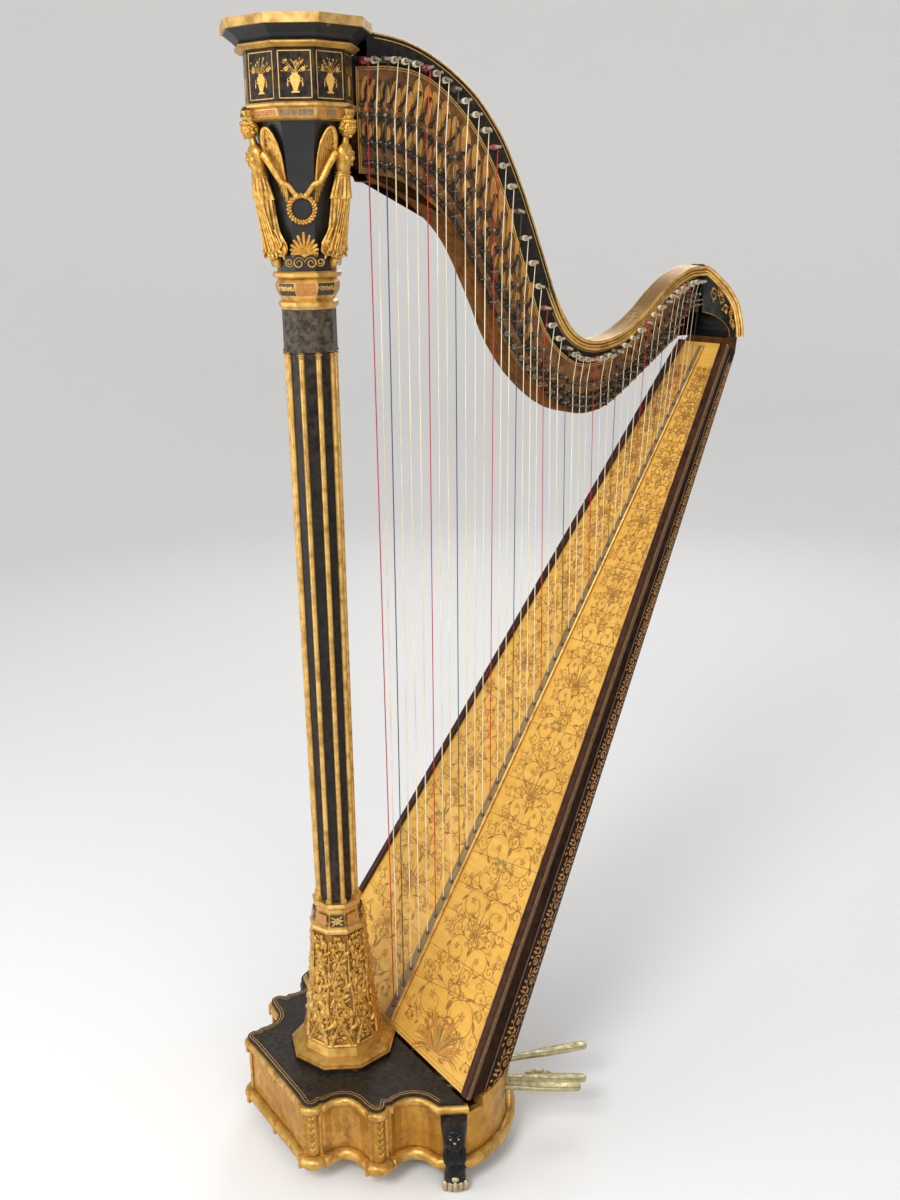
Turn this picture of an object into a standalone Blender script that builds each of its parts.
"""Pedal harp with a nine-sided column, in metres, +Z up, standing on its feet at z = 0.

The column stands towards -X, the soundbox leans towards +X, and the strings lie on the -Y side of the
neck. Everything is built around the column's axis and then moved so that the origin lies under the middle
of the whole harp.
"""
import math

import bmesh
import bpy
from mathutils import Matrix, Vector

GAP = 0.0003                 # between pieces that touch

# Base
BASE_FRONT_X = -0.131        # front face of the plinth, from the column's axis
BASE_LOBE_R = 0.018
BASE_LOBE_1 = (-0.115, -0.101)
BASE_LOBE_2 = (-0.036, -0.172)
BASE_STRAIGHT_1 = (0.041, -0.227)
BASE_CORNER = (0.083, -0.252)
BASE_BAY_1 = ((-0.101, -0.120), (-0.057, -0.158), 0.018)
BASE_BAY_2 = ((-0.015, -0.184), (0.035, -0.202), 0.012)
BASE_REAR_DEPTH = 0.190      # from the corner line to the back of the rear wall
FOOT_CLEAR = 0.030           # floor to the underside of the base
BASE_TOP = 0.150             # floor to the top board's surface
LOWER_MOULD_H = 0.022
LOWER_MOULD_OUT = 0.007
UPPER_MOULD_H = 0.017
UPPER_MOULD_OUT = 0.002
MOULD_BAND = 0.020
UPPER_BAND = 0.014
BOARD_T = 0.004
BOARD_IN = 0.004
WALL_IN = 0.006              # wall face behind the outline
WALL_T = 0.010
FLOOR_BOARD_T = 0.012

# Column
SIDES = 9
FOOT_PLINTH_R = 0.0888
FOOT_PLINTH_H = 0.008
FOOT_LIP_R = 0.0858
FOOT_COVE_R = 0.0657
FOOT_COVE_TOP = 0.186
CARVED_R_LOW = 0.062
CARVED_R_HIGH = 0.044
RING_LOW_Z = 0.383
RING_LOW_R = 0.0474
RING_HIGH_Z = 0.424
RING_HIGH_R = 0.0413
SHAFT_R_LOW = 0.0310
SHAFT_R_HIGH = 0.0350
RIB_R = 0.0040
SHAFT_TOP = 1.298
COLLAR_H = 0.059
COLLAR_TOP = SHAFT_TOP + COLLAR_H
COLLAR_R = 0.0392
BAND_RING_R = 0.0432
BAND_H = 0.043
BAND_TOP = COLLAR_TOP + BAND_H
BAND_R = 0.0448
BELL_RING_R = 0.0492
BELL_RING_H = 0.009
BELL_RING_TOP = BAND_TOP + BELL_RING_H
BELL_R_LOW = 0.0422
BELL_R_MID = 0.0476
BELL_R_HIGH = 0.0660
BELL_H = 0.194
BELL_TOP = BELL_RING_TOP + BELL_H
FRIEZE_RING_R = 0.0815
FRIEZE_RING_H = 0.023
FRIEZE_RING_TOP = BELL_TOP + FRIEZE_RING_H
FRIEZE_R = 0.0745
FRIEZE_H = 0.066
FRIEZE_TOP = FRIEZE_RING_TOP + FRIEZE_H
CORNICE_R = 0.0860
CORNICE_H = 0.010
CORNICE_TOP = FRIEZE_TOP + CORNICE_H
CROWN_R = 0.1044
CROWN_COVE_H = 0.016
CROWN_BAND_H = 0.012
CROWN_BAND_Z = CORNICE_TOP + CROWN_COVE_H
CROWN_TOP = CROWN_BAND_Z + CROWN_BAND_H
CROWN_RECESS = 0.006
COLUMN_BORE = 0.0225
FIGURE_HEADROOM = 0.018       # from the figures' height to the bell's
FIGURE_H = BELL_H - FIGURE_HEADROOM
FIGURE_FOOT = 0.0154          # height of the small bracket under each figure
FIGURE_R = 0.0498
FIGURE_LEAN = 0.126

# Soundbox: the board's surface is a plane through BOARD_X, BOARD_Z that rises at BOARD_SLOPE
BOARD_X = 0.084
BOARD_Z = 0.1512
BOARD_SLOPE = math.radians(58.2)
BOARD_LENGTH = 1.306
BOARD_HALF_LOW = 0.246
BOARD_HALF_HIGH = 0.058
SOUNDBOARD_T = 0.005
BACK_DEPTH_LOW = 0.172
BACK_DEPTH_HIGH = 0.050
SHELL_T = 0.005
SHELL_FULL = 0.90             # power of the section's rounding; 1 is an ellipse
EDGE_MOULD_W = 0.012
EDGE_MOULD_H = 0.008
STRIP_W_LOW = 0.024
STRIP_W_HIGH = 0.013
STRIP_T = 0.003
SOUND_HOLES = 5
SOUND_HOLE_W = 0.034
SOUND_HOLE_L = 0.110

# Neck: its lines are drawn for a crown at NECK_DRAWN_TOP and a shoulder centre at NECK_DRAWN_END
NECK_DRAWN_TOP = 1.730
NECK_DRAWN_END = (0.758, 1.27116)
NECK_HALF = 0.019
NECK_DRIFT = 0.030           # sideways, for each metre from the column, so that the strings hang over their strip
NECK_TOP = ((0.103, 1.7235), (0.136, 1.720), (0.163, 1.715), (0.191, 1.706), (0.219, 1.693), (0.248, 1.676),
            (0.277, 1.655), (0.297, 1.636), (0.319, 1.610), (0.338, 1.583), (0.355, 1.551), (0.374, 1.511),
            (0.392, 1.468), (0.411, 1.420), (0.426, 1.382), (0.439, 1.352), (0.453, 1.325), (0.470, 1.302),
            (0.491, 1.287), (0.516, 1.280), (0.544, 1.281), (0.581, 1.291), (0.626, 1.317), (0.671, 1.354),
            (0.702, 1.375), (0.733, 1.388), (0.758, 1.393))
NECK_UNDER = ((0.708, 1.274), (0.688, 1.262), (0.662, 1.244), (0.624, 1.219), (0.586, 1.194), (0.551, 1.174),
              (0.520, 1.165), (0.483, 1.164), (0.440, 1.176), (0.398, 1.202), (0.358, 1.239), (0.332, 1.273),
              (0.312, 1.306), (0.294, 1.346), (0.272, 1.391), (0.254, 1.425), (0.234, 1.454), (0.210, 1.478),
              (0.181, 1.500), (0.159, 1.513), (0.136, 1.523), (0.114, 1.527), (0.093, 1.529))
ARCH_TOP = 1.332
ARCH = ((0.706, 1.290), (0.720, 1.307), (0.738, 1.316), (0.7577, 1.314))
NECK_MOULD_R = 0.004
PLATE_T = 0.0018
PLATE_END_BACK = 0.001       # before the shoulder
PLATE_TURN = (0.700, 1.284)
PLATE_FOOT_Z = 1.539
PLATE_INSET_TOP = 0.008      # below the tuning pins
PLATE_INSET_UNDER = 0.009
SHOULDER_BACK = 0.0142       # from the board's upper end back to the shoulder's centre
SHOULDER_X = BOARD_X + BOARD_LENGTH * math.cos(BOARD_SLOPE) - SHOULDER_BACK
SHOULDER_RUN = ((90, 0.123, 0.042, -0.006, 0.043), (70, 0.099, 0.039, -0.020, 0.045), (50, 0.078, 0.034, -0.036, 0.047),
                (30, 0.064, 0.029, -0.045, 0.048), (10, 0.058, 0.026, -0.048, 0.048), (0, 0.057, 0.025, -0.048, 0.048))
SHOULDER_REACH = 0.057       # its back edge over the collar
COLLAR_BLOCK_H = 0.010
SHOULDER_Z = BOARD_Z + BOARD_LENGTH * math.sin(BOARD_SLOPE) + COLLAR_BLOCK_H
WEB_T = 0.006

# Strings and action: the buttons' places are for a board of BUTTONS_DRAWN
STRINGS = 45
BUTTONS_DRAWN = 1.306
FIRST_BUTTON = 0.035         # along the board from its lower end
BUTTON_STEP_LOW = 0.0340
BUTTON_STEP_HIGH = 0.0228
BUTTON_STEPS_FIRST = (0.4, 0.75, 0.9)     # share of the step between the first buttons
PIN_LINE = ((0.087, 1.685), (0.136, 1.688), (0.190, 1.680), (0.238, 1.654), (0.292, 1.600), (0.338, 1.521),
            (0.379, 1.408), (0.418, 1.311), (0.466, 1.262), (0.510, 1.251), (0.560, 1.261), (0.610, 1.292),
            (0.655, 1.327), (0.695, 1.351), (0.729, 1.364), (0.757, 1.366))
PINS_PER_KNOT = 3
STRING_Y = -0.034            # where a string crosses its nut
STRING_R_BASS = 0.0009
STRING_R_TREBLE = 0.0004
NUT_SHARE = 0.45             # of the way from tuning pin to the neck's lower edge
DISC_1_SHARE = 0.68
DISC_2_SHARE = 0.85
NUT_BACK = 0.007
PIN_R = 0.0030
PIN_OUT = 0.020
NUT_R = 0.0018
DISC_R = 0.0045
DISC_T = 0.0025
PRONG_R = 0.0009
PRONG_X = 0.0030
MOVING_DISCS = 7
FIRST_MOVING_DISC = 14
MOVING_PINS = 3
PIN_CLEAR = 0.0005

# Pedals: where each blade leaves the rear wall and where its tip is
PEDAL_Z = 0.100
PEDAL_T = 0.009
PEDAL_W = 0.011
PEDAL_TIP_W = 0.020
PEDAL_OUT = 0.128
PEDAL_IN = 0.140             # rear wall to the pivot
PEDAL_ROOTS = ((0.191, -0.193, -35.4), (0.226, -0.170, -27.0), (0.253, -0.143, -18.6), (0.268, 0.052, 9.9),
               (0.253, 0.143, 18.6), (0.226, 0.170, 27.0), (0.191, 0.193, 35.4))
ROD_ANGLES = (-130.0, -80.0, -35.0, 0.0, 35.0, 80.0, 130.0)
PEDAL_NAMES = ("d", "c", "b", "e", "f", "g", "a")
SHELL_PEDAL = 1
SHELL_TILT = math.radians(5.5)
SHELL_R = 0.030
ROD_CIRCLE = 0.018
ROD_R = 0.002
ROD_TOP = BELL_TOP - 0.043
ARM_W = 0.005
POST_GAP = 0.0008
POST_W = 0.006
SLOT_SIDE = 0.003
SLOT_LOW = 0.060
SLOT_HIGH = 0.110

# Feet
FRONT_FOOT = (-0.040, 0.085)
FRONT_FOOT_R = 0.018
GLIDE = (0.232, 0.055)
GLIDE_R = 0.016
REAR_FOOT = (0.0600, 0.2440)
REAR_FOOT_W = 0.044
FOOT_IN = 0.0065

GILT = ((0.83, 0.60, 0.20), 0.35, 0.8)
BLACK = ((0.02, 0.018, 0.016), 0.3, 0.0)
MAPLE = ((0.80, 0.52, 0.16), 0.4, 0.0)
DARK = ((0.07, 0.04, 0.03), 0.35, 0.0)
BRASS = ((0.72, 0.62, 0.35), 0.3, 1.0)
STEEL = ((0.30, 0.30, 0.30), 0.4, 1.0)
WOOD = ((0.30, 0.17, 0.07), 0.45, 0.0)
GUT = ((0.85, 0.80, 0.65), 0.4, 0.0)


def clear_scene():
    """Remove every object, and make the two collections."""
    for obj in list(bpy.data.objects):
        bpy.data.objects.remove(obj, do_unlink=True)
    made = []
    for name in ("pedal_harp", "cutters"):
        collection = bpy.data.collections.new(name)
        bpy.context.scene.collection.children.link(collection)
        made.append(collection)
    return made


PARTS, CUTTERS = clear_scene()
FRAME = bpy.data.objects.new("harp_frame", None)
PARTS.objects.link(FRAME)


def finish(name, mesh, look=None, smooth=False):
    """Make a node from a mesh, with its own material."""
    obj = bpy.data.objects.new(name, mesh)
    PARTS.objects.link(obj)
    obj.parent = FRAME
    if look:
        colour, roughness, metallic = look
        material = bpy.data.materials.new(name)
        material.use_nodes = True
        shader = material.node_tree.nodes["Principled BSDF"]
        shader.inputs["Base Color"].default_value = (*colour, 1.0)
        shader.inputs["Roughness"].default_value = roughness
        shader.inputs["Metallic"].default_value = metallic
        mesh.materials.append(material)
    if smooth:
        mesh.shade_smooth()
        mesh.set_sharp_from_angle(angle=math.radians(35))
    return obj


def as_cutter(obj):
    """Take an object out of the parts and keep it as a hidden tool."""
    PARTS.objects.unlink(obj)
    CUTTERS.objects.link(obj)
    obj.hide_render = True
    obj.display_type = "WIRE"
    return obj


def combine(obj, tool, operation, own_overlap=False):
    """Cut a tool from an object, or join it on; own_overlap is for a tool made of pieces that overlap."""
    as_cutter(tool)
    modifier = obj.modifiers.new(operation.lower(), "BOOLEAN")
    modifier.operation = operation
    modifier.solver = "EXACT"
    modifier.object = tool
    modifier.use_self = own_overlap
    return obj


def baked(curve_object):
    """Turn a curve into a closed mesh and drop the curve."""
    bpy.context.scene.collection.objects.link(curve_object)
    bpy.context.view_layer.update()
    evaluated = curve_object.evaluated_get(bpy.context.evaluated_depsgraph_get())
    mesh = bpy.data.meshes.new_from_object(evaluated)
    data = curve_object.data
    bpy.data.objects.remove(curve_object)
    bpy.data.curves.remove(data)
    work = bmesh.new()
    work.from_mesh(mesh)
    bmesh.ops.remove_doubles(work, verts=work.verts, dist=1e-6)
    bmesh.ops.recalc_face_normals(work, faces=work.faces)
    work.to_mesh(mesh)
    work.free()
    return mesh


def slab_mesh(outlines, low, high, bevel=0.0, steps=2):
    """Mesh of flat outlines in XY between two heights; later outlines are holes."""
    curve = bpy.data.curves.new("outline", "CURVE")
    curve.dimensions = "2D"
    curve.fill_mode = "BOTH"
    curve.extrude = (high - low) / 2 - bevel
    curve.bevel_depth = bevel
    curve.bevel_resolution = steps
    curve.offset = -bevel
    for outline in outlines:
        spline = curve.splines.new("POLY")
        spline.points.add(len(outline) - 1)
        for point, (x, y) in zip(spline.points, outline):
            point.co = (x, y, 0.0, 1.0)
        spline.use_cyclic_u = True
    mesh = baked(bpy.data.objects.new("outline", curve))
    mesh.transform(Matrix.Translation((0, 0, (low + high) / 2)))
    return mesh


UPRIGHT = Matrix(((1, 0, 0, 0), (0, 0, -1, 0), (0, 1, 0, 0), (0, 0, 0, 1)))


def upright_mesh(outlines, near, far, bevel=0.0, steps=2):
    """Mesh of flat outlines given as (x, z), between two values of y."""
    mesh = slab_mesh(outlines, -far, -near, bevel, steps)
    mesh.transform(UPRIGHT)
    return mesh


def tube_mesh(points, radius, sides=2, taper=None):
    """Mesh of a round bar along points, with filled ends."""
    curve = bpy.data.curves.new("route", "CURVE")
    curve.dimensions = "3D"
    curve.bevel_depth = radius
    curve.bevel_resolution = sides
    curve.use_fill_caps = True
    spline = curve.splines.new("POLY")
    spline.points.add(len(points) - 1)
    for index, (point, place) in enumerate(zip(spline.points, points)):
        point.co = (*place, 1.0)
        point.radius = taper[index] if taper else 1.0
    return baked(bpy.data.objects.new("route", curve))


def turned(name, profile, look=None, sides=SIDES, smooth=False, place=(0, 0, 0)):
    """Turn a profile of (radius, z), outer side from top to bottom, about Z, with a flat towards the neck."""
    mesh = bpy.data.meshes.new(name)
    edges = [(i, i + 1) for i in range(len(profile) - 1)]
    if profile[0][0] > 0.0:
        edges.append((len(profile) - 1, 0))
    mesh.from_pydata([(r, 0.0, z) for r, z in profile], edges, [])
    obj = finish(name, mesh, look, smooth)
    screw = obj.modifiers.new("turn", "SCREW")
    screw.steps = sides
    screw.render_steps = sides
    screw.use_merge_vertices = True
    screw.merge_threshold = 0.00001
    screw.use_smooth_shade = smooth
    obj.rotation_euler.z = math.pi / sides
    obj.location = place
    return obj


def arc(centre, radius, start, end, count):
    """Points along a circle from one angle to another, in degrees."""
    points = []
    for step in range(count + 1):
        angle = math.radians(start + (end - start) * step / count)
        points.append((centre[0] + radius * math.cos(angle), centre[1] + radius * math.sin(angle)))
    return points


def bay(first, last, sagitta, count=6):
    """Points of a hollow arc between two points, bent to the left of its chord."""
    a, b = Vector(first), Vector(last)
    chord = b - a
    side = Vector((-chord.y, chord.x)).normalized()
    points = []
    for step in range(count + 1):
        share = step / count
        points.append(tuple(a + chord * share + side * sagitta * math.sin(math.pi * share) ** 0.8))
    return points


def offset(outline, distance):
    """Move a closed outline that runs anticlockwise outwards by a distance."""
    moved = []
    count = len(outline)
    for i, place in enumerate(outline):
        here = Vector(place)
        before = (here - Vector(outline[i - 1])).normalized()
        after = (Vector(outline[(i + 1) % count]) - here).normalized()
        normal = Vector((before.y, -before.x)) + Vector((after.y, -after.x))
        normal.normalize()
        lean = max(0.5, normal.dot(Vector((before.y, -before.x))))
        moved.append(tuple(here + normal * distance / lean))
    return moved


def smooth_line(knots, per_knot):
    """Catmull-Rom curve through knots."""
    knots = [Vector(k) for k in knots]
    ends = [knots[0] * 2 - knots[1]] + knots + [knots[-1] * 2 - knots[-2]]
    points = []
    for i in range(len(knots) - 1):
        a, b, c, d = ends[i:i + 4]
        for step in range(per_knot):
            t = step / per_knot
            points.append(0.5 * ((2 * b) + (c - a) * t + (2 * a - 5 * b + 4 * c - d) * t ** 2
                                 + (3 * b - a - 3 * c + d) * t ** 3))
    points.append(knots[-1])
    return [tuple(p) for p in points]


def mirrored(path):
    """The same path on the +Y side, run backwards."""
    return [(x, -y) for x, y in reversed(path)]


def front_side():
    """Outline of the base from the middle of its front to the rear corner, on the -Y side."""
    path = [(BASE_FRONT_X, 0.0)]
    path += arc(BASE_LOBE_1, BASE_LOBE_R, 180, 300, 5)
    path += bay(*BASE_BAY_1)
    path += arc(BASE_LOBE_2, BASE_LOBE_R, 190, 330, 6)
    path += bay(*BASE_BAY_2)
    path += [BASE_STRAIGHT_1, BASE_CORNER]
    return path


def rear_side(count=10):
    """Outline of the curved rear wall from the corner to the middle, on the -Y side."""
    points = []
    for step in range(1, count + 1):
        angle = math.radians(-90 + 90 * step / count)
        points.append((BASE_CORNER[0] + BASE_REAR_DEPTH * math.cos(angle), -BASE_CORNER[1] * math.sin(angle)))
    return points


FRONT_HALF = front_side()
REAR_HALF = rear_side()
BASE_OUTLINE = FRONT_HALF + REAR_HALF + mirrored(REAR_HALF)[1:] + mirrored(FRONT_HALF)[:-1]


def open_band(outline, keep_front, limit, width):
    """A band along part of the base's outline, its outer edge as given, as a closed outline."""
    inner = offset(outline, -width)
    count = len(outline)
    order = list(range(count))
    if keep_front:
        start = len(FRONT_HALF) + 2 * len(REAR_HALF) - 1
        order = [(start + i) % count for i in range(count)]
    if keep_front:
        keep = [i for i in order if outline[i][0] <= limit]
    else:
        keep = [i for i in order if outline[i][0] >= limit]
    outer_run = [outline[i] for i in keep]
    inner_run = [inner[i] for i in keep]
    return outer_run + inner_run[::-1]


def board_point(along, depth=0.0, y=0.0):
    """A point of the soundbox: along the board, below its surface and across."""
    x = BOARD_X + along * math.cos(BOARD_SLOPE) + depth * math.sin(BOARD_SLOPE)
    z = BOARD_Z + along * math.sin(BOARD_SLOPE) - depth * math.cos(BOARD_SLOPE)
    return (x, y, z)


def board_half(along):
    """Half the soundbox's width."""
    return BOARD_HALF_LOW + (BOARD_HALF_HIGH - BOARD_HALF_LOW) * along / BOARD_LENGTH


def back_depth(along):
    """How far the back lies below the board's surface."""
    return BACK_DEPTH_LOW + (BACK_DEPTH_HIGH - BACK_DEPTH_LOW) * along / BOARD_LENGTH


def board_slab(low, high, half, near, far):
    """Mesh of a tapered slab in the board's own plane; half gives its half width along the board."""
    mesh = bpy.data.meshes.new("slab")
    work = bmesh.new()
    bmesh.ops.create_cube(work, size=2.0)
    for vert in work.verts:
        along = high if vert.co.x > 0 else low
        depth = far if vert.co.z < 0 else near
        left, right = half(along)
        vert.co = board_point(along, depth, right if vert.co.y > 0 else left)
    bmesh.ops.recalc_face_normals(work, faces=work.faces)
    work.to_mesh(mesh)
    work.free()
    return mesh


def box_mesh(low, high):
    """Mesh of a box between two corners."""
    mesh = bpy.data.meshes.new("box")
    work = bmesh.new()
    bmesh.ops.create_cube(work, size=1.0)
    for vert in work.verts:
        vert.co = [(a + b) / 2 + c * (b - a) for a, b, c in zip(low, high, vert.co)]
    work.to_mesh(mesh)
    work.free()
    return mesh


def peg_mesh(work, x, z, radius, near, far, sides=6):
    """Add a small round bar along Y to a work mesh."""
    place = Matrix.Translation((x, (near + far) / 2, z)) @ Matrix.Rotation(math.pi / 2, 4, "X")
    bmesh.ops.create_cone(work, cap_ends=True, segments=sides, radius1=radius, radius2=radius,
                          depth=abs(far - near), matrix=place)


def apothem(radius):
    """Distance from the axis to a flat of a nine-sided section."""
    return radius * math.cos(math.pi / SIDES)


# Base


def build_base():
    """Plinth walls, mouldings, boards and feet."""
    lower_top = FOOT_CLEAR + LOWER_MOULD_H
    upper_low = BASE_TOP - BOARD_T - GAP - UPPER_MOULD_H
    wall = offset(BASE_OUTLINE, -WALL_IN)
    inner = offset(BASE_OUTLINE, -WALL_IN - WALL_T)
    walls = finish("base_wall", slab_mesh([wall, inner], lower_top + GAP, upper_low - GAP), GILT)
    for number, (x, y, angle) in enumerate(PEDAL_ROOTS):
        turn = Matrix.Translation((x, y, 0)) @ Matrix.Rotation(math.radians(angle), 4, "Z")
        half = PEDAL_W / 2 + SLOT_SIDE
        low = SLOT_LOW
        tool = box_mesh((-0.045, -half, low), (0.045, half, SLOT_HIGH))
        tool.transform(turn)
        combine(walls, finish(f"slot_{number}", tool), "DIFFERENCE")
    lower = offset(BASE_OUTLINE, LOWER_MOULD_OUT)
    ring = [lower, offset(lower, -MOULD_BAND)]
    moulding = finish("base_lower_moulding", slab_mesh(ring, FOOT_CLEAR, lower_top, 0.006, 1), GILT, True)
    notches = bmesh.new()
    for side in (-1, 1):
        notch = box_mesh((-REAR_FOOT_W / 2 - GAP, -0.030, 0.0), (REAR_FOOT_W / 2 + GAP, FOOT_IN + GAP, lower_top + 0.004))
        notch.transform(foot_place(side))
        if side > 0:
            notch.flip_normals()
        notches.from_mesh(notch)
    notch_mesh = bpy.data.meshes.new("notches")
    notches.to_mesh(notch_mesh)
    notches.free()
    combine(moulding, finish("foot_notches", notch_mesh), "DIFFERENCE")
    upper = open_band(offset(BASE_OUTLINE, UPPER_MOULD_OUT), True, BASE_CORNER[0] + 0.002, UPPER_BAND)
    finish("base_upper_moulding", slab_mesh([upper], upper_low, upper_low + UPPER_MOULD_H, 0.004, 1), GILT, True)
    rear_cap = open_band(offset(BASE_OUTLINE, -0.001), False, BASE_CORNER[0] + 0.003, MOULD_BAND)
    finish("base_rear_cap", slab_mesh([rear_cap], upper_low, BASE_TOP), GILT)
    edge = offset(BASE_OUTLINE, -BOARD_IN)
    board_x = BASE_CORNER[0] - 0.003
    last = Vector(BASE_STRAIGHT_1).lerp(Vector(BASE_CORNER), (board_x - BASE_STRAIGHT_1[0])
                                        / (BASE_CORNER[0] - BASE_STRAIGHT_1[0]))
    corner = (board_x, last.y + BOARD_IN * 1.1)
    start = len(FRONT_HALF) + 2 * len(REAR_HALF) - 1
    rear_run = edge[start:] + edge[:len(FRONT_HALF)]
    board = [(corner[0], -corner[1])] + [p for p in rear_run if p[0] < board_x - 0.004] + [corner]
    holes = [arc((0, 0), COLUMN_BORE, 0, 340, 17)]
    finish("base_top_board", slab_mesh([board] + holes, BASE_TOP - BOARD_T, BASE_TOP), BLACK)
    floor = offset(lower, -MOULD_BAND - GAP)
    floor_top = FOOT_CLEAR + FLOOR_BOARD_T
    floor_board = finish("base_floor_board", slab_mesh([floor], FOOT_CLEAR, floor_top), WOOD)
    posts = bmesh.new()
    for x, y, angle in PEDAL_ROOTS:
        px, py = pedal_pivot(x, y, angle)
        turn = Matrix.Translation((px, py, 0)) @ Matrix.Rotation(math.radians(angle), 4, "Z")
        post_top = PEDAL_Z - PEDAL_T / 2 - POST_GAP
        post_low = floor_top - 0.002
        size = Matrix.Diagonal((POST_W, PEDAL_W - 0.002, post_top - post_low, 1))
        middle = Matrix.Translation((0, 0, (post_top + post_low) / 2))
        bmesh.ops.create_cube(posts, size=1.0, matrix=turn @ middle @ size)
    for side in (-1, 1):
        place = Matrix.Translation((GLIDE[0], side * GLIDE[1], (FOOT_CLEAR + 0.002) / 2))
        bmesh.ops.create_cone(posts, cap_ends=True, segments=16, radius1=GLIDE_R * 0.8, radius2=GLIDE_R,
                              depth=FOOT_CLEAR + 0.002, matrix=place)
    mesh = bpy.data.meshes.new("posts")
    posts.to_mesh(mesh)
    posts.free()
    combine(floor_board, finish("pedal_posts", mesh), "UNION")
    for side, name in ((-1, "left"), (1, "right")):
        build_front_foot(side, name)
        build_rear_foot(side, name)


def foot_place(side):
    """Where a rear foot stands, turned to the wall behind it."""
    run = Vector(BASE_CORNER) - Vector(BASE_STRAIGHT_1)
    turn = math.atan2(run.y, run.x)
    if side < 0:
        return Matrix.Translation((REAR_FOOT[0], -REAR_FOOT[1], 0)) @ Matrix.Rotation(turn, 4, "Z")
    return (Matrix.Translation((REAR_FOOT[0], REAR_FOOT[1], 0)) @ Matrix.Rotation(-turn, 4, "Z")
            @ Matrix.Scale(-1, 4, (0, 1, 0)))


def build_front_foot(side, name):
    """A small turned foot under the floor board."""
    top = FOOT_CLEAR - GAP
    profile = [(0.0, top), (FRONT_FOOT_R, top), (FRONT_FOOT_R * 0.72, top * 0.72), (FRONT_FOOT_R, top * 0.4),
               (FRONT_FOOT_R * 0.9, top * 0.15), (FRONT_FOOT_R * 0.62, 0.0), (0.0, 0.0)]
    turned(f"front_foot_{name}", profile, GILT, 12, True, (FRONT_FOOT[0], side * FRONT_FOOT[1], 0))


def build_rear_foot(side, name):
    """A foot at the rear corner: a masked bracket over a paw."""
    half_w = REAR_FOOT_W / 2
    top = BASE_TOP - BOARD_T - GAP - UPPER_MOULD_H - GAP
    foot = [(-0.006, 0.0), (0.013, 0.0), (0.018, 0.010), (0.016, 0.024), (0.009, 0.033), (0.008, 0.060),
            (0.013, 0.085), (0.012, 0.110), (0.009, top), (-FOOT_IN, top), (-FOOT_IN, 0.030)]
    mesh = upright_mesh([foot], -half_w, half_w, 0.0025, 1)
    mesh.transform(foot_place(side) @ Matrix.Rotation(math.pi * 1.5, 4, "Z"))
    if side > 0:
        mesh.flip_normals()
    finish(f"rear_foot_{name}", mesh, GILT, True)


# Column and capital


def hollow(outer):
    """Close a profile with the column's bore."""
    return outer + [(COLUMN_BORE, outer[-1][1]), (COLUMN_BORE, outer[0][1])]


def build_column():
    """The column from its cove base to the dark collar."""
    plinth_top = BASE_TOP + GAP + FOOT_PLINTH_H
    cove_top = FOOT_COVE_TOP
    low = plinth_top
    cove = [(FOOT_COVE_R - 0.002, cove_top), (FOOT_COVE_R, cove_top - 0.002), (FOOT_COVE_R, cove_top - 0.005),
            (FOOT_COVE_R + 0.004, low + 0.010), (FOOT_LIP_R - 0.004, low + 0.006), (FOOT_LIP_R, low + 0.004),
            (FOOT_LIP_R, low), (FOOT_PLINTH_R, low), (FOOT_PLINTH_R, BASE_TOP + GAP)]
    turned("column_cove", hollow(cove), GILT)
    low = cove_top + GAP
    top = RING_LOW_Z - 0.006 - GAP
    carved = []
    for step in range(9):
        share = 1 - step / 8
        z = low + (top - low) * share
        flare = (1 - share) ** 2
        carved.append((CARVED_R_HIGH + (CARVED_R_LOW - CARVED_R_HIGH) * (0.35 * (1 - share) + 0.65 * flare), z))
    turned("column_carved_foot", hollow(carved), GILT)
    low = RING_LOW_Z - 0.006
    top = RING_HIGH_Z + 0.004
    ring = [(RING_HIGH_R - 0.003, top), (RING_HIGH_R, top - 0.003), (RING_HIGH_R, top - 0.006),
            (RING_HIGH_R - 0.004, top - 0.010), (RING_HIGH_R - 0.003, RING_LOW_Z + 0.010),
            (RING_LOW_R - 0.002, RING_LOW_Z + 0.004), (RING_LOW_R, RING_LOW_Z + 0.001),
            (RING_LOW_R, RING_LOW_Z - 0.003), (RING_LOW_R - 0.004, low)]
    turned("column_ring", hollow(ring), GILT)
    build_shaft(top + GAP)
    collar_low = SHAFT_TOP + GAP
    collar = [(COLLAR_R, COLLAR_TOP), (COLLAR_R, collar_low + 0.004), (COLLAR_R + 0.002, collar_low)]
    turned("column_collar", hollow(collar), DARK)


def build_shaft(low):
    """The black nine-sided shaft with a gilt half-round rib on each corner."""
    outline = []
    apart = 2 * math.pi / SIDES
    share = 0.5
    for side in range(SIDES):
        corner = math.pi / SIDES + apart * side
        centre = (SHAFT_R_LOW * math.cos(corner), SHAFT_R_LOW * math.sin(corner))
        turn = math.degrees(corner)
        outline += arc(centre, RIB_R, turn - 100, turn + 100, 5)
        middle = corner + apart * share
        flat = SHAFT_R_LOW * math.cos(math.pi / SIDES)
        outline.append((flat * math.cos(middle), flat * math.sin(middle)))
    bore = arc((0, 0), COLUMN_BORE, 0, 340, 17)
    mesh = slab_mesh([outline, bore], low, SHAFT_TOP)
    grow = SHAFT_R_HIGH / SHAFT_R_LOW
    for vert in mesh.vertices:
        if vert.co.z > (low + SHAFT_TOP) / 2 and vert.co.xy.length > COLUMN_BORE + 0.001:
            vert.co.x *= grow
            vert.co.y *= grow
    finish("column_shaft", mesh, BLACK)


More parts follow.
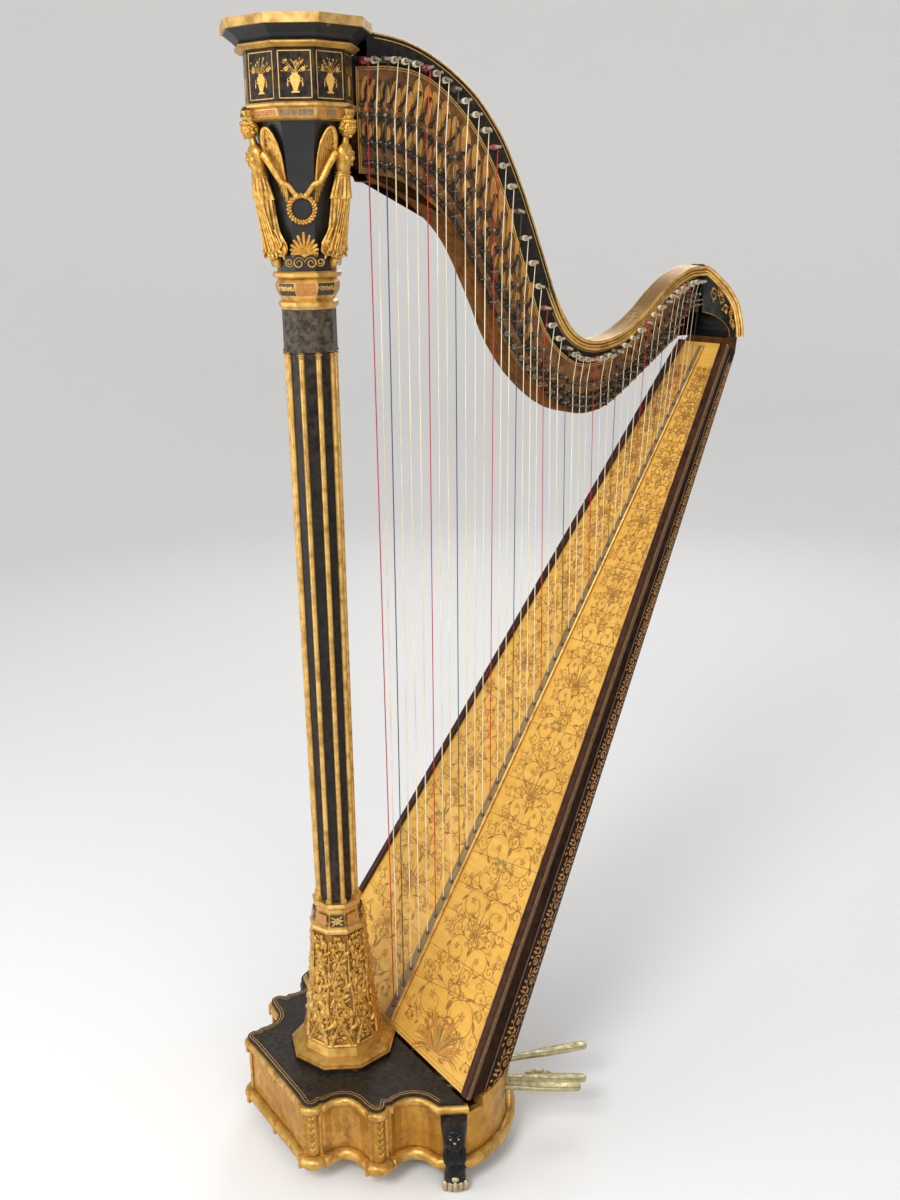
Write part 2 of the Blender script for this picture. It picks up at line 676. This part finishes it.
def bell_profile(low):
    """Outer side of the capital's bell, from top to bottom."""
    height = BELL_TOP - low
    return [(BELL_R_HIGH, BELL_TOP), (BELL_R_HIGH - 0.002, BELL_TOP - 0.006),
            (BELL_R_MID + 0.008, low + height * 0.80), (BELL_R_MID + 0.003, low + height * 0.60),
            (BELL_R_MID, low + height * 0.40), (BELL_R_LOW + 0.001, low + height * 0.15), (BELL_R_LOW, low)]


def build_capital():
    """The capital: band, bell, figures, frieze and crown."""
    low = COLLAR_TOP + GAP
    top = BAND_TOP
    band = [(BAND_R - 0.003, top), (BAND_R + 0.001, top - 0.006), (BAND_R + 0.001, top - 0.014),
            (BAND_R - 0.004, low + 0.018), (BAND_RING_R - 0.005, low + 0.013), (BAND_RING_R, low + 0.010),
            (BAND_RING_R, low + 0.005), (BAND_RING_R - 0.004, low)]
    turned("capital_band", hollow(band), GILT)
    low = BAND_TOP + GAP
    ring = [(BELL_RING_R - 0.002, BELL_RING_TOP), (BELL_RING_R, BELL_RING_TOP - 0.002),
            (BELL_RING_R, low + 0.002), (BELL_RING_R - 0.003, low)]
    turned("capital_bell", hollow(bell_profile(BELL_RING_TOP) + ring), BLACK)
    low = BELL_TOP + GAP
    ring = [(FRIEZE_RING_R - 0.002, FRIEZE_RING_TOP), (FRIEZE_RING_R, FRIEZE_RING_TOP - 0.002),
            (FRIEZE_RING_R, FRIEZE_RING_TOP - 0.005), (FRIEZE_RING_R - 0.005, FRIEZE_RING_TOP - 0.008),
            (FRIEZE_RING_R - 0.008, low + 0.005), (FRIEZE_RING_R - 0.006, low + 0.002),
            (FRIEZE_RING_R - 0.010, low)]
    turned("capital_frieze_ring", hollow(ring), GILT)
    low = FRIEZE_RING_TOP + GAP
    turned("capital_frieze", hollow([(FRIEZE_R, FRIEZE_TOP), (FRIEZE_R, low)]), BLACK)
    low = FRIEZE_TOP + GAP
    cornice = [(CORNICE_R - 0.003, CORNICE_TOP), (CORNICE_R, CORNICE_TOP - 0.002),
               (CORNICE_R, CORNICE_TOP - 0.005), (CORNICE_R - 0.006, low)]
    turned("capital_cornice", hollow(cornice), GILT)
    low = CORNICE_TOP + GAP
    crown = [(0.0, CROWN_TOP - CROWN_RECESS), (CROWN_R - 0.012, CROWN_TOP - CROWN_RECESS),
             (CROWN_R - 0.012, CROWN_TOP), (CROWN_R, CROWN_TOP), (CROWN_R, CROWN_BAND_Z),
             (CROWN_R - 0.003, CROWN_BAND_Z), (CROWN_R - 0.008, CROWN_BAND_Z - 0.004),
             (CORNICE_R + 0.003, low + 0.006), (CORNICE_R - 0.003, low), (0.0, low)]
    turned("capital_crown", crown, GILT)
    for name, angle in (("front", 180), ("left", 300), ("right", 60)):
        build_figure(name, angle)


def build_figure(name, angle):
    """A winged robed figure on a small bracket over the bell's ring, leaning out with the bell."""
    tall = FIGURE_H
    foot = FIGURE_FOOT
    body = [(0.0, tall * 0.865), (0.0055, tall * 0.86), (0.0042, tall * 0.825), (0.0110, tall * 0.80),
            (0.0118, tall * 0.74), (0.0086, tall * 0.64), (0.0075, tall * 0.59), (0.0105, tall * 0.50),
            (0.0088, tall * 0.30), (0.0075, tall * 0.12), (0.0065, 0.0)]
    profile = [(r, foot + z) for r, z in body]
    profile += [(0.0066, foot - 0.002), (0.0060, foot - 0.006), (0.0038, 0.002), (0.0042, 0.0), (0.0, 0.0)]
    robe = turned("robe", profile, None, 10)
    bpy.context.view_layer.update()
    straight = bpy.data.meshes.new_from_object(robe.evaluated_get(bpy.context.evaluated_depsgraph_get()))
    bpy.data.objects.remove(robe)
    figure = finish(f"capital_figure_{name}", straight, GILT, True)
    pieces = bmesh.new()
    head = Matrix.Translation((0, 0, foot + tall * 0.915)) @ Matrix.Diagonal((0.9, 0.85, 1.15, 1))
    bmesh.ops.create_uvsphere(pieces, u_segments=10, v_segments=7, radius=0.0098, matrix=head)
    for side in (-1, 1):
        arm = Matrix.Translation((0.003, side * 0.0120, foot + tall * 0.70)) @ Matrix.Rotation(side * 0.35, 4, "X")
        bmesh.ops.create_cone(pieces, cap_ends=True, segments=6, radius1=0.0026, radius2=0.0034, depth=0.040,
                              matrix=arm)
        wing = Matrix.Translation((-0.0035, side * 0.0135, foot + tall * 0.66)) @ Matrix.Rotation(side * 0.22, 4, "X")
        wing = wing @ Matrix.Diagonal((0.0028, 0.0125, 0.062, 1))
        bmesh.ops.create_cone(pieces, cap_ends=True, segments=6, radius1=0.45, radius2=0.8, depth=1.0, matrix=wing)
    mesh = bpy.data.meshes.new("figure_details")
    pieces.to_mesh(mesh)
    pieces.free()
    details = finish(f"figure_details_{name}", mesh)
    turn = math.radians(angle)
    for obj in (figure, details):
        for vert in obj.data.vertices:
            vert.co.x += vert.co.z * FIGURE_LEAN
        obj.location = (FIGURE_R * math.cos(turn), FIGURE_R * math.sin(turn), BELL_RING_TOP + GAP)
        obj.rotation_euler = (0, 0, turn)
    combine(figure, details, "UNION", True)


# Soundbox


def shell_section(along, depth_cut):
    """Outer and inner half ellipses of the soundbox at one place along the board."""
    points = []
    for thick, run in ((0.0, range(0, 17)), (SHELL_T, range(16, -1, -1))):
        half = board_half(along) - thick
        deep = back_depth(along) - depth_cut - thick
        for step in run:
            angle = math.pi * step / 16
            across = math.copysign(abs(math.cos(angle)) ** SHELL_FULL, math.cos(angle))
            points.append(board_point(along, depth_cut + deep * math.sin(angle) ** SHELL_FULL, -half * across))
    return points


def build_soundbox():
    """Back, soundboard, edge mouldings, string strip with its strings."""
    cut = SOUNDBOARD_T + GAP
    mesh = bpy.data.meshes.new("soundbox")
    work = bmesh.new()
    high = [Vector(p) for p in shell_section(BOARD_LENGTH, cut)]
    deck = []
    for place, top in zip(shell_section(-0.20, cut), high):
        low = Vector(place)
        deck.append(low + (top - low) * (BASE_TOP + GAP - low.z) / (top.z - low.z))
    rings = [[work.verts.new(p) for p in ring] for ring in (deck, high)]
    count = len(rings[0])
    for i in range(count):
        j = (i + 1) % count
        work.faces.new((rings[0][i], rings[0][j], rings[1][j], rings[1][i]))
    for ring in rings:
        half = count // 2
        for i in range(half - 1):
            work.faces.new((ring[i], ring[i + 1], ring[count - 2 - i], ring[count - 1 - i]))
    bmesh.ops.triangulate(work, faces=work.faces)
    bmesh.ops.recalc_face_normals(work, faces=work.faces)
    work.to_mesh(mesh)
    work.free()
    shell = finish("soundbox_back", mesh, WOOD, True)
    for number in range(SOUND_HOLES):
        along = BOARD_LENGTH * (0.253 + number * 0.1455)
        size = 1.0 - 0.12 * number
        outline = [(x * size, y * size) for x, y in
                   arc((SOUND_HOLE_L / 2, 0), SOUND_HOLE_W / 2, -90, 90, 7)
                   + arc((-SOUND_HOLE_L / 2 + 0.02, 0), SOUND_HOLE_W / 2, 90, 270, 7)]
        tool = slab_mesh([outline], -0.06, 0.06)
        centre = board_point(along, back_depth(along))
        tool.transform(Matrix.Translation(centre) @ Matrix.Rotation(-BOARD_SLOPE, 4, "Y"))
        combine(shell, finish(f"sound_hole_{number}", tool), "DIFFERENCE")
    soundboard = board_slab(0.002, BOARD_LENGTH, lambda s: (-board_half(s), board_half(s)), 0.0, SOUNDBOARD_T)
    finish("soundboard", soundboard, MAPLE)
    for side, name in ((-1, "left"), (1, "right")):
        def edges(along, side=side):
            outer = side * board_half(along)
            return sorted((outer, outer - side * EDGE_MOULD_W))
        obj = finish(f"edge_moulding_{name}",
                     board_slab(0.002, BOARD_LENGTH, edges, -EDGE_MOULD_H - GAP, -GAP), DARK, True)
        bevel = obj.modifiers.new("round", "BEVEL")
        bevel.width = 0.003
        bevel.segments = 2
    strip = board_slab(0.006, BOARD_LENGTH - 0.004, strip_half, -STRIP_T - GAP, -GAP)
    strip = finish("string_strip", strip, DARK)
    combine(strip, finish("strings", strings_mesh()), "UNION")


def strip_half(along):
    """Edges of the string strip across the board."""
    half = (STRIP_W_LOW + (STRIP_W_HIGH - STRIP_W_LOW) * along / BOARD_LENGTH) / 2
    return (-half, half)


# Strings and action


def fitted(line):
    """A line of the neck, moved to where the crown and the shoulder are."""
    points = []
    for x, z in line:
        share = (x - FRIEZE_R) / (NECK_DRAWN_END[0] - FRIEZE_R)
        rise = (CROWN_TOP - NECK_DRAWN_TOP) * (1 - share) + (SHOULDER_Z - NECK_DRAWN_END[1]) * share
        points.append((x + (SHOULDER_X - NECK_DRAWN_END[0]) * share, z + rise))
    return points


NECK_LINE = fitted(NECK_TOP)
PINS_LINE = fitted(PIN_LINE)
PINS = smooth_line(PINS_LINE, PINS_PER_KNOT)[:STRINGS]
TOP_LINE = smooth_line(NECK_LINE, 2)
UNDER_LINE = smooth_line(fitted(NECK_UNDER), 2)
PLATE_BEND = fitted([PLATE_TURN])[0]
ARCH_Z = fitted([(NECK_DRAWN_END[0], ARCH_TOP)])[0][1]


def under_z(x):
    """Height of the lower edge that the action keeps clear of at x."""
    if x > PLATE_BEND[0]:
        return min(PLATE_BEND[1] - PLATE_INSET_UNDER + 1.5 * (x - PLATE_BEND[0]), ARCH_Z - 0.011)
    for a, b in zip(UNDER_LINE, UNDER_LINE[1:]):
        if b[0] <= x <= a[0]:
            share = (x - b[0]) / (a[0] - b[0])
            return b[1] + (a[1] - b[1]) * share
    if x < 0.2:
        return UNDER_LINE[-1][1]
    return UNDER_LINE[0][1]


def string_places(index):
    """Tuning pin, nut, two discs and button of one string."""
    pin = PINS[index]
    drop = pin[1] - under_z(pin[0])
    along = FIRST_BUTTON
    for step in range(index):
        share = BUTTON_STEPS_FIRST[step] if step < len(BUTTON_STEPS_FIRST) else 1.0
        along += share * (BUTTON_STEP_LOW + (BUTTON_STEP_HIGH - BUTTON_STEP_LOW) * step / (STRINGS - 2))
    nut = (pin[0] - NUT_BACK * min(1.0, 0.4 + 0.2 * index), pin[1] - drop * NUT_SHARE)
    radius = STRING_R_BASS + (STRING_R_TREBLE - STRING_R_BASS) * index / (STRINGS - 1)
    over = nut[0] + NUT_R + radius + GAP
    button = board_point(along * BOARD_LENGTH / BUTTONS_DRAWN, -GAP - STRIP_T / 2)
    discs = []
    for share in (DISC_1_SHARE, DISC_2_SHARE):
        z = pin[1] - drop * share
        way = (nut[1] - z) / (nut[1] - button[2])
        discs.append((over + (button[0] - over) * way, z))
    return pin, nut, discs, button, radius


def drift(x):
    """How far the neck lies to the +Y side at x."""
    return NECK_DRIFT * (x - FRIEZE_R)


def drifted(mesh):
    """Shear a mesh with the neck."""
    for vert in mesh.vertices:
        vert.co.y += drift(vert.co.x)
    return mesh


def strings_mesh():
    """All strings as one mesh, each from its button over its nut to its tuning pin."""
    work = bmesh.new()
    for index in range(STRINGS):
        pin, nut, _, button, radius = string_places(index)
        nut_x = nut[0] + NUT_R + radius + GAP
        end_x = pin[0] + PIN_R + radius + 2 * GAP
        route = [button, (nut_x, STRING_Y + drift(nut_x), nut[1]), (end_x, STRING_Y + drift(end_x), pin[1])]
        tube = tube_mesh(route, radius, 0)
        work.from_mesh(tube)
        bpy.data.meshes.remove(tube)
    mesh = bpy.data.meshes.new("strings")
    work.to_mesh(mesh)
    work.free()
    return mesh


def build_neck():
    """Neck, mouldings, action plates, shoulder."""
    steps = [(apothem(CROWN_R) + GAP, NECK_LINE[0][1] - 0.0005), (apothem(CROWN_R) + GAP, FRIEZE_TOP),
             (apothem(FRIEZE_R) + GAP, FRIEZE_TOP - GAP), (apothem(FRIEZE_R) + GAP, FRIEZE_RING_TOP + 2 * GAP),
             (apothem(FRIEZE_RING_R) + GAP, FRIEZE_RING_TOP + GAP), (apothem(FRIEZE_RING_R) + GAP, BELL_TOP - GAP),
             (apothem(BELL_R_HIGH) + GAP, BELL_TOP - 2 * GAP), (apothem(BELL_R_MID + 0.009) + 0.001, BELL_TOP - BELL_H * 0.263)]
    end = [(SHOULDER_X - GAP, NECK_LINE[-1][1])]
    arch = list(reversed(smooth_line(fitted(ARCH), 3)))
    outline = TOP_LINE[:-1] + end + arch + UNDER_LINE + steps[::-1]
    outline = outline[::-1]
    neck = finish("neck", drifted(upright_mesh([outline], -NECK_HALF, NECK_HALF)), WOOD)
    top = [Vector(p) for p in TOP_LINE]
    for side, name in ((-1, "left"), (1, "right")):
        y = side * (NECK_HALF + NECK_MOULD_R + GAP)
        rim = [(p.x, y, p.y - 0.003) for p in top[1:-1]]
        finish(f"neck_moulding_{name}", drifted(tube_mesh(rim, NECK_MOULD_R, 1)), GILT, True)
    plate = plate_outline()
    near = -NECK_HALF - GAP - PLATE_T
    left = finish("action_plate_left", drifted(upright_mesh([plate], near, -NECK_HALF - GAP)), BRASS)
    right = finish("action_plate_right", drifted(upright_mesh([plate], NECK_HALF + GAP, -near)), BRASS)
    pegs = bmesh.new()
    pins = bmesh.new()
    bores = bmesh.new()
    for index in range(STRINGS):
        pin, nut, discs, _, _ = string_places(index)
        shift = drift(pin[0])
        if index < MOVING_PINS:
            peg_mesh(bores, pin[0], pin[1], PIN_R + PIN_CLEAR, near - 0.01, -near + 0.01, 8)
            build_tuning_pin(index, pin, near)
        else:
            peg_mesh(pins, pin[0], pin[1], PIN_R, -NECK_HALF + 0.003 + shift, near - PIN_OUT + shift, 5)
        peg_mesh(pegs, nut[0], nut[1], NUT_R, near + PLATE_T / 2 + shift, STRING_Y - 0.004 + shift, 5)
        for row, (x, z) in enumerate(discs):
            moving = row == 1 and FIRST_MOVING_DISC <= index < FIRST_MOVING_DISC + MOVING_DISCS
            if not moving:
                peg_mesh(pegs, x, z, DISC_R, near + PLATE_T / 2 + shift, near - DISC_T + shift)
    for number in range(MOVING_DISCS):
        place = string_places(FIRST_MOVING_DISC + number)[2][1]
        build_disc(PEDAL_NAMES[number], place, near)
    for tool_mesh, target, operation, name in ((bores, neck, "DIFFERENCE", "pin_bores"), (pins, neck, "UNION", "pins"),
                                               (pegs, left, "UNION", "nuts_and_discs")):
        mesh = bpy.data.meshes.new(name)
        tool_mesh.to_mesh(mesh)
        tool_mesh.free()
        combine(target, finish(name, mesh), operation, target is left)
    build_shoulder(SHOULDER_Z)


def plate_outline():
    """Outline of an action plate, inside the neck's edges."""
    top = []
    line = smooth_line(PINS_LINE, 2)
    end_x = SHOULDER_X - PLATE_END_BACK
    for i in range(1, len(line) - 1):
        run = (Vector(line[i + 1]) - Vector(line[i - 1])).normalized()
        place = Vector(line[i]) + Vector((run.y, -run.x)) * PLATE_INSET_TOP
        if place.x < end_x:
            top.append(tuple(place))
    under = []
    for i in range(1, len(UNDER_LINE) - 1):
        run = (Vector(UNDER_LINE[i + 1]) - Vector(UNDER_LINE[i - 1])).normalized()
        under.append(tuple(Vector(UNDER_LINE[i]) + Vector((run.y, -run.x)) * PLATE_INSET_UNDER))
    left_x = apothem(FRIEZE_RING_R) + 0.002
    start = [(left_x, PINS_LINE[0][1] - PLATE_INSET_TOP), (left_x, fitted([(left_x, PLATE_FOOT_Z)])[0][1])]
    end = [(end_x, ARCH_Z - 0.002), (end_x - 0.029, ARCH_Z - 0.006), PLATE_BEND]
    under = [p for p in under if left_x + 0.004 < p[0] < PLATE_BEND[0] - 0.004]
    outline = start + under[::-1] + end[::-1] + top[::-1]
    return outline


def build_tuning_pin(index, pin, near):
    """A tuning pin that turns in the neck, with a square end on the far side."""
    work = bmesh.new()
    far = -near + 0.008
    peg_mesh(work, 0, 0, PIN_R, near - PIN_OUT, far, 8)
    mesh = bpy.data.meshes.new("tuning_pin")
    work.to_mesh(mesh)
    work.free()
    obj = finish(f"tuning_pin_{index + 1}", mesh, STEEL, True)
    obj.location = (pin[0], drift(pin[0]), pin[1])


def build_disc(name, place, near):
    """A fork disc that turns beside the plate, its two prongs astride the string."""
    work = bmesh.new()
    face = near - GAP
    peg_mesh(work, 0, 0, DISC_R, face, face - DISC_T, 12)
    disc_mesh = bpy.data.meshes.new("disc")
    work.to_mesh(disc_mesh)
    work.free()
    disc = finish(f"fork_disc_{name}", disc_mesh, STEEL)
    disc.location = (place[0], drift(place[0]) - GAP, place[1])
    prongs = bmesh.new()
    for side in (-1, 1):
        peg_mesh(prongs, side * PRONG_X, 0, PRONG_R, face - DISC_T / 2, STRING_Y - 0.005)
    mesh = bpy.data.meshes.new("prongs")
    prongs.to_mesh(mesh)
    prongs.free()
    tool = finish(f"prongs_{name}", mesh)
    tool.location = disc.location
    combine(disc, tool, "UNION")


def build_shoulder(collar_top):
    """The shoulder, a flared hoop from the neck's end down to the collar over the top of the soundbox."""
    mesh = bpy.data.meshes.new("shoulder")
    work = bmesh.new()
    rings = []
    for angle, outer, inner, near, far in SHOULDER_RUN:
        turn = math.radians(angle)
        ring = []
        for radius, y in ((outer, near), (outer, far), (inner, far), (inner, near)):
            ring.append(work.verts.new((SHOULDER_X + GAP + radius * math.cos(turn), y,
                                        collar_top + GAP + radius * math.sin(turn))))
        rings.append(ring)
    for a, b in zip(rings, rings[1:]):
        for i in range(4):
            j = (i + 1) % 4
            work.faces.new((a[i], a[j], b[j], b[i]))
    work.faces.new(rings[0])
    work.faces.new(rings[-1][::-1])
    bmesh.ops.triangulate(work, faces=work.faces)
    bmesh.ops.recalc_face_normals(work, faces=work.faces)
    work.to_mesh(mesh)
    work.free()
    finish("shoulder", mesh, BLACK)
    top_end = board_point(BOARD_LENGTH + GAP, 0.0)
    back_end = board_point(BOARD_LENGTH + GAP, BACK_DEPTH_HIGH + 0.002)
    end_x = SHOULDER_X + SHOULDER_REACH
    block = [(top_end[0], top_end[2]), (back_end[0], back_end[2]), (end_x, back_end[2] + 0.020),
             (end_x, collar_top), (top_end[0], collar_top)]
    finish("shoulder_collar", upright_mesh([block], -BOARD_HALF_HIGH, BOARD_HALF_HIGH), WOOD)


# Pedals


def pedal_pivot(x, y, angle):
    """Where a pedal turns, inside the base."""
    turn = math.radians(angle)
    return (x - PEDAL_IN * math.cos(turn), y - PEDAL_IN * math.sin(turn))


def build_pedals():
    """Seven pedals and the rods that they push up inside the column."""
    for number, (x, y, angle) in enumerate(PEDAL_ROOTS):
        pivot = Vector(pedal_pivot(x, y, angle))
        turn = math.radians(angle)
        ahead = Vector((math.cos(turn), math.sin(turn)))
        across = Vector((-ahead.y, ahead.x))
        rod_turn = math.radians(ROD_ANGLES[number])
        rod = Vector((ROD_CIRCLE * math.cos(rod_turn), ROD_CIRCLE * math.sin(rod_turn)))
        root = Vector((x, y))
        tip = root + ahead * PEDAL_OUT
        half, wide = PEDAL_W / 2, PEDAL_TIP_W / 2
        left = [pivot + across * half, root + ahead * 0.012 + across * half,
                root + ahead * 0.050 + across * wide, tip - ahead * wide + across * wide]
        right = [tip - ahead * wide - across * wide, root + ahead * 0.050 - across * wide,
                 root + ahead * 0.012 - across * half, pivot - across * half]
        round_tip = [tuple(tip - ahead * wide + across * (wide * math.cos(a)) + ahead * (wide * math.sin(a)))
                     for a in [math.radians(d) for d in (30, 60, 90, 120, 150)]]
        arm = (rod - pivot).normalized()
        side = Vector((-arm.y, arm.x))
        end = rod + arm * 0.003
        bar = [tuple(p) for p in left] + round_tip + [tuple(p) for p in right]
        hand = [tuple(p) for p in (end + side * ARM_W / 2, end - side * ARM_W / 2)]
        outline = bar + hand
        outline = outline[::-1]
        name = PEDAL_NAMES[number]
        mesh = slab_mesh([outline], PEDAL_Z - PEDAL_T / 2, PEDAL_Z + PEDAL_T / 2)
        pedal = finish(f"pedal_{name}", mesh, BRASS, True)
        if number == SHELL_PEDAL:
            add_shell(pedal, root, ahead)
        place_on_axis(pedal, (pivot.x, pivot.y, PEDAL_Z))
        tilt = SHELL_TILT if number == SHELL_PEDAL else 0.0
        if tilt:
            lean = Matrix.Rotation(tilt, 4, Vector((across.x, across.y, 0)))
            pedal.data.transform(lean)
            pedal.modifiers[0].object.data.transform(lean)
        reach = (pivot - rod).dot(ahead) + ROD_R
        bottom = PEDAL_Z + reach * math.sin(tilt) + PEDAL_T / 2 * math.cos(tilt) + GAP
        length = ROD_TOP - bottom
        mesh = tube_mesh([(0, 0, 0), (0, 0, length)], ROD_R, 1)
        rod_obj = finish(f"pedal_rod_{name}", mesh, STEEL, True)
        rod_obj.location = (rod.x, rod.y, bottom)


def add_shell(pedal, root, ahead):
    """The scallop plate on one pedal."""
    centre = root + ahead * 0.060
    points = []
    for step in range(48):
        turn = 2 * math.pi * step / 48
        radius = SHELL_R * (0.86 + 0.10 * abs(math.cos(turn * 4)))
        points.append((centre.x + radius * math.cos(turn), centre.y + radius * math.sin(turn)))
    low = PEDAL_Z - PEDAL_T / 2 - 0.003
    mesh = slab_mesh([points], low, low + 0.005)
    combine(pedal, finish("scallop_plate", mesh), "UNION")


def place_on_axis(obj, place):
    """Move an object's origin to its joint without moving its shape."""
    obj.data.transform(Matrix.Translation([-c for c in place]))
    obj.location = place
    for modifier in obj.modifiers:
        if modifier.type == "BOOLEAN" and modifier.object.location.length == 0:
            modifier.object.data.transform(Matrix.Translation([-c for c in place]))
            modifier.object.location = place


def centre_frame():
    """Put the origin under the middle of the harp's box."""
    bpy.context.view_layer.update()
    graph = bpy.context.evaluated_depsgraph_get()
    xs, ys = [], []
    for obj in PARTS.objects:
        if obj.type != "MESH":
            continue
        mesh = obj.evaluated_get(graph).to_mesh()
        for vert in mesh.vertices:
            place = obj.matrix_world @ vert.co
            xs.append(place.x)
            ys.append(place.y)
    FRAME.location = (-(min(xs) + max(xs)) / 2, -(min(ys) + max(ys)) / 2, 0)
    bpy.context.view_layer.update()
    print("frame offset", tuple(round(c, 6) for c in FRAME.location))


build_base()
build_column()
build_capital()
build_soundbox()
build_neck()
build_pedals()
centre_frame()
